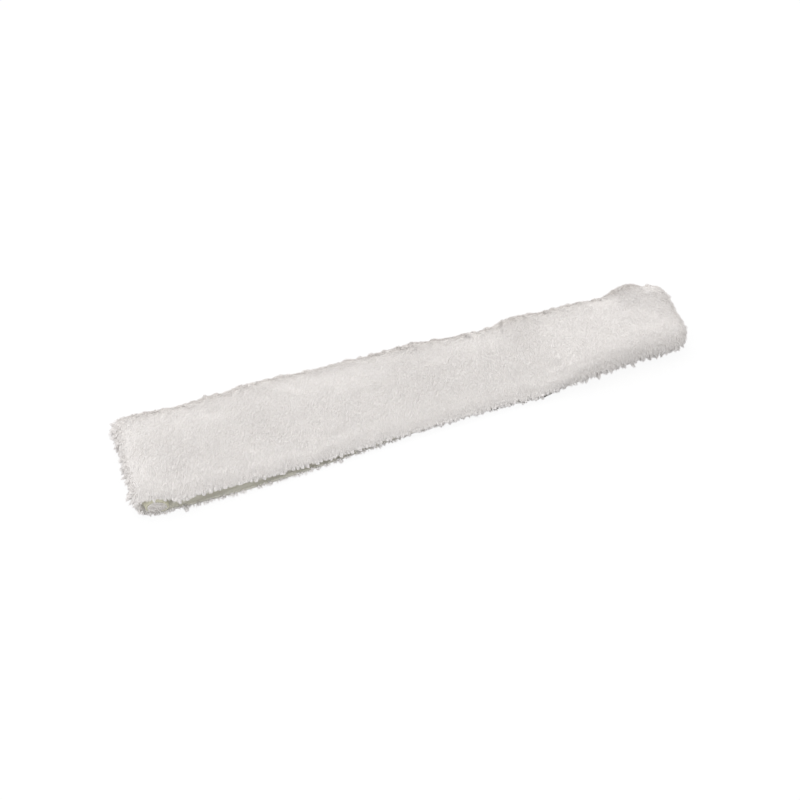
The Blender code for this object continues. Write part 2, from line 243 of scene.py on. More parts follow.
def acrylic_pile_strands(add, scene):
    """Bleached acrylic yarn ends: matt, with painted shade that darkens them towards their roots
    and where they stand loose, and a little random tone.
    """
    settings = scene.sleeve_pile
    along, tint = (add("ShaderNodeAttribute", attribute_name=name).outputs["Fac"]
                   for name in ("along", "tint"))
    # Painted shade: each strand's colour darkens from its tip to its root
    base_colour = add("ShaderNodeMix", {"Factor": along, "A": (*settings.root_painted_shade, 1),
                                "B": (*settings.colour, 1)}, data_type="RGBA")
    # Painted shade: where the pile stands loose the colour drops to 0.93, so its standing tufts
    # look no brighter than the brushed top; a small random tone is added
    tone = add("ShaderNodeMapRange", {"Value": tint, "From Min": -1.0, "From Max": 0.3,
                                      "To Min": 0.93})
    return base_colour, tone, None, {"Roughness": 0.85, "Specular IOR Level": 0.2}


def acrylic_pile_felt(add, scene):
    """The same yarn where it stands so dense that it shows as one mass: soft streaks and tufts, in
    a darker colour that is painted shade for the depth of the pile.
    """
    place = add("ShaderNodeTexCoord").outputs["Object"]
    stroked = add("ShaderNodeMapping", {"Vector": place, "Rotation": (0, 0, math.radians(20)),
                                        "Scale": (1.0, 0.25, 0.5)})
    streaks, tufts = (
        add("ShaderNodeTexNoise", {"Vector": pattern, "Scale": 1 / (width * MILLIMETRE),
                                   "Detail": detail})
        for pattern, width, detail in ((stroked, 1.6, 3.0), (place, 6, 2.0)))
    height = add("ShaderNodeMath", (streaks, tufts), operation="ADD")
    tone = add("ShaderNodeMapRange", {"Value": height, "From Min": 0.7, "From Max": 1.3,
                                      "To Min": 0.94})
    # Painted shade: the felt's colour is darker than the strands' for the depth of the pile
    return ((*scene.sleeve_pile.felt_painted_shade, 1), tone, (height, 0.5, 0.6),
            {"Roughness": 0.9, "Specular IOR Level": 0.2})


def ecru_knit(add, scene):
    """Weft-knitted ground cloth: columns of plaited stitches, slightly uneven in colour."""
    settings = scene.sleeve_cloth
    stitches = crossed(add, settings.wale_spacing, "MULTIPLY",
                       {"Distortion": 1.5, "Detail": 2.0, "Detail Scale": 4.0})
    place = add("ShaderNodeTexCoord").outputs["Object"]
    blotches = add("ShaderNodeTexNoise", {"Vector": place, "Scale": 1 / (9 * MILLIMETRE),
                                          "Detail": 3.0})
    tone = add("ShaderNodeMath", (stitches, 0.18, 0.82), operation="MULTIPLY_ADD")
    tone = add("ShaderNodeMath", (blotches, 0.10, tone), operation="MULTIPLY_ADD")
    # Painted light: the knit's colour is lighter than the cloth's own, for the shade inside the
    # mouth
    return ((*settings.knit_colour, 1), tone, (stitches, 0.3, 0.7),
            {"Roughness": 0.9, "Sheen Weight": 0.15, "Specular IOR Level": 0.2})


def ecru_knit_rolled_shade(add, scene):
    """The same cloth rolled up in a seam allowance, in a darker colour that is painted shade for
    its place under the lips.
    """
    return ((*scene.sleeve_cloth.rolled_painted_shade, 1), *ecru_knit(add, scene)[1:])


def polyester_thread(add, scene):
    """Spun polyester sewing thread: faint glints along its twist."""
    place = add("ShaderNodeTexCoord").outputs["Object"]
    plies = add("ShaderNodeTexWave", {"Vector": place, "Scale": ripples(0.4 * MILLIMETRE),
                                      "Distortion": 1.0}, bands_direction="DIAGONAL")
    plies = plies.outputs["Fac"]
    tone = add("ShaderNodeMapRange", {"Value": plies, "To Min": 0.86})
    return ((*scene.sleeve_cloth.thread_colour, 1), tone, (plies, 0.1, 0.5), {"Roughness": 0.55})


def nylon_tape(add, scene):
    """Woven nylon tape: a fine regular weave with a little gloss."""
    weave = crossed(add, 0.6 * MILLIMETRE, "MAXIMUM")
    tone = add("ShaderNodeMapRange", {"Value": weave, "To Min": 0.8})
    return ((*scene.sleeve_cloth.tape_colour, 1), tone, (weave, 0.15, 0.6), {"Roughness": 0.5})


def white_paper(settings):
    """Smooth white card: seen nearly as bright as the backdrop, it keeps a faint shadow."""
    material = bpy.data.materials.new("white_paper")
    material.use_nodes = True
    tree = material.node_tree
    shader = tree.nodes["Principled BSDF"]
    set_inputs(tree, shader, {"Base Color": (*settings.table_colour, 1), "Roughness": 1.0,
                              "Specular IOR Level": 0.0})
    rays = add_node(tree, "ShaderNodeLightPath")
    seen = add_node(tree, "ShaderNodeMath", (rays.outputs["Is Camera Ray"], 0.85),
                    operation="MULTIPLY")
    glow = add_node(tree, "ShaderNodeEmission", {"Color": (1, 1, 1, 1), "Strength": 1.07})
    mixed = add_node(tree, "ShaderNodeMixShader", (seen, shader, glow))
    set_inputs(tree, tree.nodes["Material Output"], {"Surface": mixed})
    return material


def new_object(name, data, material=None):
    """Object in the scene, made of a mesh in its place, a lamp or a camera."""
    if material is not None:
        data.materials.clear()
        data.materials.append(material)
    piece = bpy.data.objects.new(name, data)
    bpy.context.scene.collection.objects.link(piece)
    return piece


def baked(piece):
    """The piece with its modifiers made part of its mesh."""
    depsgraph = bpy.context.evaluated_depsgraph_get()
    mesh = bpy.data.meshes.new_from_object(piece.evaluated_get(depsgraph), depsgraph=depsgraph)
    piece.modifiers.clear()
    piece.data = mesh
    return piece


def smoothed(piece, levels):
    """The piece with its mesh subdivided smoothly."""
    modifier = piece.modifiers.new("Smooth", "SUBSURF")
    modifier.levels = modifier.render_levels = levels
    return baked(piece)


def finished(piece, slot, *nodes):
    """Join a piece to the model's body, in place of the nodes that it stands for."""
    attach(piece, ROOT)
    if nodes:
        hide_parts(*nodes)


def grown(name, mesh, maker, shape, material, values, slot, *nodes):
    """Piece that a tree of geometry nodes makes by repeating a shape over a mesh."""
    tree = bpy.data.node_groups.get(maker.__name__) or maker()
    piece, pattern = new_object(name, mesh), new_object("pattern", shape)
    values = {"Shape": pattern, "Material": made_of(material), **values}
    modifier = piece.modifiers.new(tree.name, "NODES")
    modifier.node_group = tree
    for item in tree.interface.items_tree:
        if item.name in values:
            modifier[item.identifier] = values[item.name]
    baked(piece)
    bpy.data.objects.remove(pattern)
    for layer in ("brushed", "reach", "wild", "density", "upper", "out"):
        if layer in piece.data.attributes:
            piece.data.attributes.remove(piece.data.attributes[layer])
    finished(piece, slot, *nodes)


def mesh_from(shape, name, smooth=False):
    """Mesh from a bmesh, which is freed."""
    for face in shape.faces:
        face.smooth = face.smooth or smooth
    mesh = bpy.data.meshes.new(name)
    shape.to_mesh(mesh)
    shape.free()
    return mesh


def merged(node):
    """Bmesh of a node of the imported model, its loose triangles merged."""
    shape = bmesh.new()
    shape.from_mesh(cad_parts[node].data)
    bmesh.ops.remove_doubles(shape, verts=shape.verts, dist=WELD)
    return shape


def tree_of(piece):
    """Search tree over an object's mesh."""
    shape = bmesh.new()
    shape.from_mesh(piece.data)
    found = BVHTree.FromBMesh(shape)
    shape.free()
    return found


def new_points(result):
    """The points that a bmesh operator made."""
    return [item for item in result if isinstance(item, bmesh.types.BMVert)]


def ease(value):
    """Smooth step from 0 to 1."""
    value = min(max(value, 0.0), 1.0)
    return value * value * (3 - 2 * value)


def step(value, start, width):
    """Smooth step from 0 at a start to 1 after a width, which is negative for a step down."""
    return ease((value - start) / width)


# Start and width of smooth steps: where the lips hang freely, along the sleeve and across it,
# where the upper lip's height starts, and where the closed end does
FREE_FROM, FREE_TO, FREE_IN_FRONT = (-0.222, 0.036), (0.118, -0.030), (0.016, -0.052)
UPPER_LIP, CLOSED_END = (0.009, 0.006), (0.203, 0.020)

# How far the lips slide forward and drop, how much further the upper one goes, everywhere and at
# the gaping corner, where that corner is and its half width, and the height of a free lower lip
LIP_SLIDE, LIP_DROP = 0.0030, 0.0040
UPPER_MORE, CORNER_MORE = 0.0006, 0.0022
CORNER, CORNER_WIDTH = -0.192, 0.014
LIFTED = 0.0065

# Height below which the closed end's side is drawn in, and its slope
UPRIGHT_BELOW, UPRIGHT_SLOPE = 0.016, 0.35


def sag(place):
    """How far the fleece lies from the solid model's: its lips hang, its end stands upright."""
    along = (0.3 + 0.7 * step(place.x, *FREE_FROM)) * step(place.x, *FREE_TO)
    free = along * step(place.y, *FREE_IN_FRONT)
    corner = ease(1 - abs(place.x - CORNER) / CORNER_WIDTH)
    more = (UPPER_MORE + CORNER_MORE * corner) * step(place.z, *UPPER_LIP)
    pressed = min(place.z / LIFTED, 1.0)
    inwards = min(place.z - UPRIGHT_BELOW, 0) * UPRIGHT_SLOPE * step(place.x, *CLOSED_END)
    hang = Vector((0, -LIP_SLIDE - more, (-LIP_DROP - more) * pressed)) * free
    return hang + Vector((inwards, 0, 0))


def hung(shape):
    """The bmesh or mesh with its lips hanging."""
    for vert in getattr(shape, "verts", None) or shape.vertices:
        vert.co += sag(vert.co)
    return shape


def ground_cloth():
    """The knitted cloth, smooth between its sharp cut edges."""
    shape = merged("ground_cloth")
    crease = shape.edges.layers.float.new("crease_edge")
    for edge in shape.edges:
        if len(edge.link_faces) == 2 and edge.calc_face_angle() > SHARP:
            edge[crease] = 1
    piece = smoothed(new_object("knit_ground", mesh_from(shape, "knit_ground", True)), 2)
    piece.data.materials.clear()
    piece.data.materials.append(made_of(ecru_knit))
    return piece


def is_outer(face, cloth):
    """Whether a face of the pile looks away from the cloth that the pile grows on."""
    centre = face.calc_center_median()
    away = centre - cloth.find_nearest(centre)[0]
    return away.length > 0.0024 and face.normal.dot(away) > 0.35 * away.length


def outer_surface(cloth):
    """Smooth surface over the pile's ends, both halves joined along the seams and the fold."""
    surface = bmesh.new()
    upper = surface.verts.layers.float.new("upper")
    for node in PILE_NODES:
        half = merged(node)
        half.normal_update()
        hidden = [face for face in half.faces if not is_outer(face, cloth)]
        bmesh.ops.delete(half, geom=hidden, context="FACES")
        known = len(surface.verts)
        mesh = mesh_from(half, node)
        surface.from_mesh(mesh)
        bpy.data.meshes.remove(mesh)
        surface.verts.ensure_lookup_table()
        for vert in surface.verts[known:]:
            vert[upper] = float(node == "upper_pile")
    bmesh.ops.remove_doubles(surface, verts=surface.verts, dist=SEAM_WELD)
    return smoothed(new_object("pile_surface", mesh_from(surface, "pile_surface", True)), 3)


def looseness(place, normal):
    """How loose the pile is: 0.1 where it lies brushed on top, up to 1 where it stands loose.

    It is loose at the two ends, along the closed front and, a little less, underneath.
    """
    end = max(step(place.x, LOW.x + 0.016, -0.014), 0.85 * step(place.x, HIGH.x - 0.030, 0.025))
    end *= ease(1.15 - normal.z)
    front = step(place.x, 0.085, 0.05) * ease(-normal.y * 1.6) * ease((0.95 - normal.z) * 2)
    front *= 0.45 + 0.55 * ease((0.35 - normal.z) * 1.5)
    below = ease(0.2 - normal.z) * ease(0.6 - normal.y)
    return max(end, front, 0.7 * below, 0.1)


def ruffled(normal):
    """How far the tufts stand out along the fold, where little brushes them down."""
    return 0.40 * ease(normal.y * 1.6 - 0.1)


# The way that the sleeve was stroked last, the sizes of the streaks across it, along it and in
# height, and how high they stand
STROKE = Vector((-0.34, -0.94, 0))
STREAKS, STREAK_HEIGHT = (0.0025, 0.010, 0.006), 0.0003

# Width and height of the pile's lumps: everywhere, round the fold, and of the bumps on the fold
LUMPS, FOLD_LUMPS, FOLD_BUMPS = (0.014, 0.0003), (0.007, 0.0007), (0.0045, 0.0034)


def lumps(place, normal):
    """How far the pile stands above or below its smooth surface: streaks, and bumps at the fold."""
    streak = (place.dot(STROKE.cross((0, 0, 1))), place.dot(STROKE), place.z)
    height = noise.noise(Vector(a / b for a, b in zip(streak, STREAKS))) * STREAK_HEIGHT
    height += noise.noise(place / LUMPS[0]) * LUMPS[1]
    height += noise.noise(place / FOLD_LUMPS[0]) * FOLD_LUMPS[1] * ease(normal.y * 2)
    bump = max(noise.noise(place / FOLD_BUMPS[0]) - 0.1, 0) * FOLD_BUMPS[1]
    return height + bump * ease(normal.y * 2 - 0.4)


def brushed_way(place, normal, loose):
    """The way that the pile leans: forward on top and over the fold, else down, out below."""
    drift = noise.noise_vector(place / 0.025) * 0.10
    over = ease(normal.y) * ease(normal.z * 2.5)
    way = STROKE * max(normal.z, over)
    way += Vector((0, 0, -1)) * (1 - abs(normal.z)) * (1 - 0.7 * over)
    way += Vector((0, -0.6, 0)) * max(-normal.z, 0) + drift * (1 + loose)
    way -= normal * way.dot(normal)
    return way * (1 - 0.55 * loose)


# Where the pile stands fuller: place along and across the sleeve, radius, height
SWELLINGS = (
    (-0.226, 0.036, 0.013, 0.0030),
    (-0.152, 0.036, 0.014, 0.0012),
    (-0.118, 0.036, 0.036, 0.0020),
    (0.010, 0.036, 0.050, 0.0018),
    (0.012, 0.036, 0.013, 0.0010),
    (0.100, 0.036, 0.028, 0.0032),
    (0.172, 0.040, 0.022, -0.0028),
    (0.200, 0.036, 0.026, 0.0030),
    (0.216, 0.036, 0.014, -0.0034),
    (0.222, 0.004, 0.020, 0.0023),
    (0.223, 0.020, 0.014, 0.0032),
)


def fuller(place):
    """How much higher than the solid model the pile stands at a place."""
    return sum(height * ease(1 - math.hypot(place.x - along, (place.y - across) / 1.5) / radius)
               for along, across, radius, height in SWELLINGS)


def put_in_order(shape):
    """Sort the faces by their places, and by their areas where two places tie.

    Extruded faces come in no fixed order, and the locks are drawn face by face.
    """
    order = Vector((1, 0.37, 0.11))
    shape.faces.sort(
        key=lambda face: face.calc_center_median().dot(order) + face.calc_area() * 1e-6)


# How far the felt's inner side stays off the cloth, and the locks' roots lie in the felt
OFF_CLOTH = ROOTED = 0.0004


def pile_bodies(settings, knit):
    """The felt of roots as a closed body, and the surface that the locks are planted on."""
    noise.seed_set(9)  # noise_vector follows the clock without it
    cloth = tree_of(knit)
    outer = outer_surface(cloth)
    felt, planting = bmesh.new(), bmesh.new()
    felt.from_mesh(outer.data)
    planting.from_mesh(outer.data)
    layers = planting.verts.layers
    upper, brushed = layers.float["upper"], layers.float_vector.new("brushed")
    reach, wild, density = (layers.float.new(name) for name in ("reach", "wild", "density"))
    rims = rim_tree(planting)
    for vert, plant in zip(felt.verts, planting.verts):
        root = cloth.find_nearest(vert.co)[0]
        thinned = 0.3 if plant[upper] else 0.7 * step(vert.co.x, LOW.x + 0.02, 0.02)
        from_rim = (vert.co - rims.find(vert.co)[0]).length
        full = 1 - thinned * ease(1 - from_rim / settings.rim_width)
        normal = vert.normal.copy()
        up = vert.co - root
        if normal.z > -0.2:
            up += normal * fuller(vert.co)
        loose = looseness(vert.co, normal)
        level = (settings.felt_share - settings.loose_felt * loose) * full
        dense = level + lumps(vert.co, normal) / up.length
        plant[brushed] = brushed_way(vert.co, normal, loose) * settings.lock_length
        plant[reach] = up.length * (1 - level) * full + 0.0003 + 0.0010 * ruffled(normal)
        plant[wild] = max(loose, ruffled(normal))
        plant[density] = 0.3 + 0.7 * ease((normal.z + 0.8) * 2.5)
        vert.co = root + up * dense
        plant.co = root + up * (dense - ROOTED / up.length)
    for vert in new_points(bmesh.ops.extrude_face_region(felt, geom=felt.faces)["geom"]):
        nearest = cloth.find_nearest(vert.co)[0]
        up = vert.co - nearest
        vert.co = nearest + up * (OFF_CLOTH / up.length)
    bmesh.ops.recalc_face_normals(felt, faces=felt.faces)
    put_in_order(felt)
    bpy.data.objects.remove(outer)
    return mesh_from(hung(felt), "pile_felt"), hung(planting)


def plant_rims(planting, cloth):
    """Carry the planting surface over the pile's cut rims, down to the cloth."""
    rims = [edge for edge in planting.edges if edge.is_boundary]
    layers = planting.verts.layers
    for vert in new_points(bmesh.ops.extrude_edge_only(planting, edges=rims)["geom"]):
        nearest = cloth.find_nearest(vert.co)[0]
        vert.co = nearest + (vert.co - nearest) * 0.15
        vert[layers.float_vector["brushed"]] = Vector((0, -0.0012, -0.0004))
        for name, value in (("reach", 0.0010), ("wild", 0.5), ("density", 0.8)):
            vert[layers.float[name]] = value
    put_in_order(planting)


def rim_tree(surface):
    """Search tree over the points of a surface's open rims."""
    rims = [vert.co for vert in surface.verts if vert.is_boundary]
    found = KDTree(len(rims))
    for number, place in enumerate(rims):
        found.insert(place, number)
    found.balance()
    return found


def lip_line(planting, level, start):
    """Edge of the pile along one lip from a place on, as edges: level is 1 for the upper lip."""
    upper = planting.verts.layers.float["upper"]
    line = bmesh.new()
    copies = {}
    for edge in planting.edges:
        if edge.is_boundary and all(abs(vert[upper] - level) < 0.5 and vert.co.x > start
                                    for vert in edge.verts):
            for vert in edge.verts:
                if vert not in copies:
                    copies[vert] = line.verts.new(vert.co)
            line.edges.new([copies[vert] for vert in edge.verts])
    return mesh_from(line, "lip")


def part_of(planting, start, end):
    """Mesh of the planting surface's faces between two places along the sleeve."""
    part = planting.copy()
    outside = [face for face in part.faces if not start <= face.calc_center_median().x < end]
    bmesh.ops.delete(part, geom=outside, context="FACES")
    return mesh_from(part, "planting")


def rim_of(shape, centre, radius, count, start=0.0, turn=None):
    """Ring of points round a place, level or turned."""
    points = []
    for number in range(count):
        around = start + math.tau * number / count
        offset = Vector((math.cos(around), math.sin(around), 0)) * radius
        points.append(shape.verts.new(centre + (turn @ offset if turn else offset)))
    return points


def skin(shape, rings, capped=True):
    """Faces between rings of points, one after another, and over both ends."""
    for first, second in zip(rings, rings[1:]):
        for side in range(len(first)):
            beside = (side + 1) % len(first)
            shape.faces.new((first[side], first[beside], second[beside], second[side]))
    if capped:
        shape.faces.new(rings[0][::-1])
        shape.faces.new(rings[-1])


def tuft_mesh(strands, radius):
    """Tuft of strands that bend together to one blunt, curled tip; one unit high."""
    shape = bmesh.new()
    along = shape.verts.layers.float.new("along")
    # Height, distance from the middle, bend to the side, thickness
    levels = ((0, 0.8, 0, 0.36), (0.45, 1.0, 0.05, 0.42), (0.85, 0.85, 0.14, 0.38),
              (1.0, 0.6, 0.22, 0.26))
    for number in range(strands):
        turn = math.tau * number / strands
        out = Vector((math.cos(turn), math.sin(turn), 0)) * (0.35 if number % 2 else 0.75)
        rings = []
        for height, outwards, sideways, half in levels:
            centre = out * outwards * radius + Vector((sideways * radius * 2, 0, height))
            rings.append(rim_of(shape, centre, half * radius, 3, turn))
            for vert in rings[-1]:
                vert[along] = height
        skin(shape, rings)
    return mesh_from(shape, "tuft", True)


def lock_mesh(settings):
    """Flat lock of tapered three-sided strands, one unit high, that arch over and draw together."""
    shape = bmesh.new()
    along = shape.verts.layers.float.new("along")
    # How far each strand arches over, in millimetres, and how high it reaches
    strands = ((0.3, 0.93), (0.15, 1.0), (0.35, 0.96), (0.2, 0.9))
    for number, (arch, top) in enumerate(strands):
        beside = (number / (len(strands) - 1) - 0.5) * settings.lock_width
        rings = []
        for height, out, sideways, half in ((0, 0, 1, 0.5), (0.5 * top, 1, 1.05, 0.46)):
            centre = Vector((out * arch * MILLIMETRE, sideways * beside, height))
            rings.append(rim_of(shape, centre, half * settings.strand_width, 3,
                                math.tau * 0.1 * number))
            for vert in rings[-1]:
                vert[along] = height
        skin(shape, rings, capped=False)
        tip = shape.verts.new((0, 0.55 * beside, top))
        tip[along] = 1
        shape.faces.new(rings[0][::-1])
        for corner in range(3):
            shape.faces.new((rings[1][corner], rings[1][(corner + 1) % 3], tip))
    return mesh_from(shape, "lock")


def thread_mesh(path, thickness, sides=4):
    """Closed tube of thread along a short path, thinner at its ends."""
    shape = bmesh.new()
    path = [Vector(point) for point in path]
    rings = []
    for number, point in enumerate(path):
        along = (path[min(number + 1, len(path) - 1)] - path[max(number - 1, 0)]).normalized()
        radius = thickness / 2 * (0.6 if number in (0, len(path) - 1) else 1)
        rings.append(rim_of(shape, point, radius, sides, turn=along.to_track_quat("Z", "Y")))
    skin(shape, rings)
    return mesh_from(shape, "thread", True)


def cuts(node, axis, spacing):
    """Points where a node's surface crosses planes that are evenly set along an axis."""
    low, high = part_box(node)
    start, end = low[axis] + spacing / 4, high[axis] - spacing / 4
    count = max(2, round((end - start) / spacing))
    normal = Vector([float(number == axis) for number in range(3)])
    found = []
    for number in range(count + 1):
        place = start + (end - start) * number / count
        shape = merged(node)
        cut = bmesh.ops.bisect_plane(shape, geom=[*shape.verts, *shape.edges, *shape.faces],
                                     plane_co=normal * place, plane_no=normal)["geom_cut"]
        found.append([vert.co.copy() for vert in new_points(cut)])
        shape.free()
    return [points for points in found if points]


def middle(points):
    """Middle of the box round some points."""
    return Vector([(min(values) + max(values)) / 2 for values in zip(*points)])


def line_mesh(points, out, closed=False):
    """Mesh of edges along a line, with the way that its stitches face."""
    line = bmesh.new()
    facing = line.verts.layers.float_vector.new("out")
    verts = [line.verts.new(point + sag(point)) for point in points]
    for vert in verts:
        vert[facing] = out
    for pair in zip(verts, verts[1:] + (verts[:1] if closed else [])):
        line.edges.new(pair)
    return mesh_from(line, "line")


# A rolled allowance: distance between its sections, points round each, and where its open side
# starts and how far the cloth goes round
ROLL_STEP, ROLL_SIDES = 0.004, 28
ROLL_START, ROLL_TURN = math.radians(-80), math.radians(285)


def rolled_cloth(node, axis, inner_side, settings):
    """Cloth of a rolled seam allowance, open at its raw edge, the pile in it and its cut ends."""
    wrap, core = bmesh.new(), bmesh.new()
    wrap_rings, core_rings = [], []
    for points in cuts(node, axis, ROLL_STEP):
        centre = middle(points)
        widths = [max(point[other] for point in points) - centre[other] for other in range(3)]
        if axis == 1:
            near_mouth = step(centre.y, -0.022, -0.018)
            widths[2] *= 1 + 0.5 * near_mouth
            widths[0] *= 1 + 0.06 * near_mouth
            centre.y += settings.set_back * near_mouth
        # Shape, depth under the roll's outside, width and height of its wrinkles, its angles
        rings = []
        for shape, inset, width, height, start, turn in (
                (wrap, 0.0, 0.006, 0.00025, ROLL_START, ROLL_TURN / (ROLL_SIDES - 1)),
                (wrap, settings.thickness, 0.006, 0.00025, ROLL_START,
                 ROLL_TURN / (ROLL_SIDES - 1)),
                (core, settings.thickness + 0.0003, 0.002, 0.0003, 0, math.tau / ROLL_SIDES)):
            ring = []
            for side in range(ROLL_SIDES):
                around = start + turn * side
                place = centre.copy()
                place[1 - axis] += math.cos(around) * inner_side * (widths[1 - axis] - inset)
                place.z += math.sin(around) * (widths[2] - inset)
                wrinkle = (noise.noise(place / width) + 1) * height
                ring.append(shape.verts.new(place - (place - centre).normalized() * wrinkle))
            rings.append(ring)
        wrap_rings.append(rings[0] + rings[1][::-1])
        core_rings.append(rings[2])
    skin(wrap, wrap_rings, capped=False)
    skin(core, core_rings, capped=False)
    for ring in (wrap_rings[0], wrap_rings[-1]):
        for side in range(ROLL_SIDES - 1):
            wrap.faces.new((ring[side], ring[side + 1], ring[-side - 2], ring[-side - 1]))
    for ring, inwards in ((core_rings[0], 1), (core_rings[-1], -1)):
        cap = core.faces.new(ring)
        for vert in ring:
            vert.co[axis] += inwards * settings.core_depth
        for vert in bmesh.ops.poke(core, faces=[cap])["verts"]:
            vert.co[axis] -= inwards * 0.4 * settings.core_depth
    for shape in (wrap, core):
        bmesh.ops.recalc_face_normals(shape, faces=shape.faces)
    hung(core).normal_update()
    ends = core.copy()
    sides_only = [face for face in ends.faces if abs(face.normal[axis]) < 0.6]
    bmesh.ops.delete(ends, geom=sides_only, context="FACES")
    layers = ends.verts.layers
    brushed = layers.float_vector.new("brushed")
    values = {"reach": 0.0011, "wild": 0.3, "density": 1.0}
    loose = {layers.float.new(name): value for name, value in values.items()}
    for vert in ends.verts:
        vert[brushed] = Vector((0, 0, 0.0003))
        for layer, value in loose.items():
            vert[layer] = value
    return [mesh_from(part, node, True) for part in (hung(wrap), core, ends)]


# Kinds of geometry node that come often
VECTOR, NUMBER = "ShaderNodeVectorMath", "ShaderNodeMath"
RANDOM, ALIGN = "FunctionNodeRandomValue", "FunctionNodeAlignRotationToVector"
ANY_WAY = {"Min": (-1, -1, -1), "Max": (1, 1, 1)}

# Most points on a square metre, which is more than fit at any spacing
DENSEST = 5e6

# Least heights above the table: of the locks' tips and roots, and of the tufts' tips
TIPS_ABOVE, ROOTS_ABOVE, TUFTS_ABOVE = 0.0014, 0.0012, 0.0024


def new_tree(name, **inputs):
    """Tree of geometry nodes with named inputs, and the function that adds nodes to it."""
    tree = bpy.data.node_groups.new(name, "GeometryNodeTree")
    kinds = {"Ground": "Geometry", **inputs, "Shape": "Object", "Material": "Material"}
    for name, kind in kinds.items():
        tree.interface.new_socket(name=name, in_out="INPUT", socket_type=f"NodeSocket{kind}")
    tree.interface.new_socket(name="Piece", in_out="OUTPUT", socket_type="NodeSocketGeometry")
    add = partial(add_node, tree)
    return tree, add, add("NodeGroupInput").outputs


def twisted(add, rotation, around):
    """A rotation after a turn about its own upright axis."""
    turn = add("FunctionNodeAxisAngleToRotation", {"Axis": (0, 0, 1), "Angle": around})
    return add("FunctionNodeRotateRotation", (rotation, turn), rotation_space="LOCAL")


def reaching(add, here, tip, lowest, width, around, facing=None):
    """Turn and stretch that make a shape reach from its place to a tip, kept above the table."""
    tip = add(VECTOR, (tip, (-9, -9, lowest)), operation="MAXIMUM")
    way = add(VECTOR, (tip, here), operation="SUBTRACT")
    length = add(VECTOR, [way], operation="LENGTH")
    turned = add(ALIGN, {"Vector": way}, axis="Z")
    if facing:
        turned = add(ALIGN, {"Rotation": turned, "Vector": facing}, axis="X", pivot_axis="Z")
    scale = add("ShaderNodeCombineXYZ", (width, width, length))
    return {"Rotation": twisted(add, turned, around), "Scale": scale}


def repeated(add, given, inputs):
    """End a tree: the given shape on its points, made real, in the given material."""
    shape = add("GeometryNodeObjectInfo", {"Object": given["Shape"]}).outputs["Geometry"]
    placed = add("GeometryNodeInstanceOnPoints", {"Instance": shape, **inputs})
    real = add("GeometryNodeRealizeInstances", [placed])
    done = add("GeometryNodeSetMaterial", {"Geometry": real, "Material": given["Material"]})
    add("NodeGroupOutput", [done])


def points_along(add, given):
    """Points a spacing apart along the given edges."""
    curve = add("GeometryNodeMeshToCurve", [given["Ground"]])
    return add("GeometryNodeResampleCurve", {"Curve": curve, "Length": given["Spacing"]},
               mode="LENGTH")


